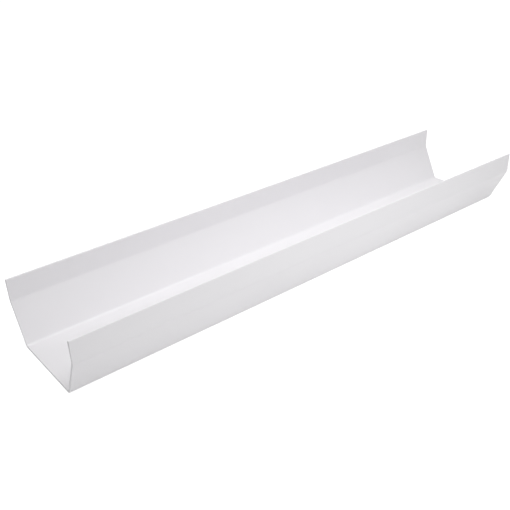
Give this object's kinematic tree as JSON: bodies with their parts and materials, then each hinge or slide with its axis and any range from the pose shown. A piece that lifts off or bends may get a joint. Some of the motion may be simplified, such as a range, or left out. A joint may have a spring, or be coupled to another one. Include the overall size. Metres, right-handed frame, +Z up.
{
  "type": "rain gutter section",
  "caption": "Straight length of square-line rain gutter: flat sole, walls that lean out and turn upright below the rims, open top and both sawn ends open.",
  "frame": {"origin": "middle of the sole's flat underside, halfway between the sawn ends", "axes": "+X along the gutter, +Y from the front wall to the back wall, +Z up to the rims"},
  "size_m": [0.52, 0.114, 0.057],
  "materials": {
    "white_pvc": "satin"
  },
  "bodies": {
    "root": {"gutter_section": "white_pvc"}
  },
  "joints": []
}
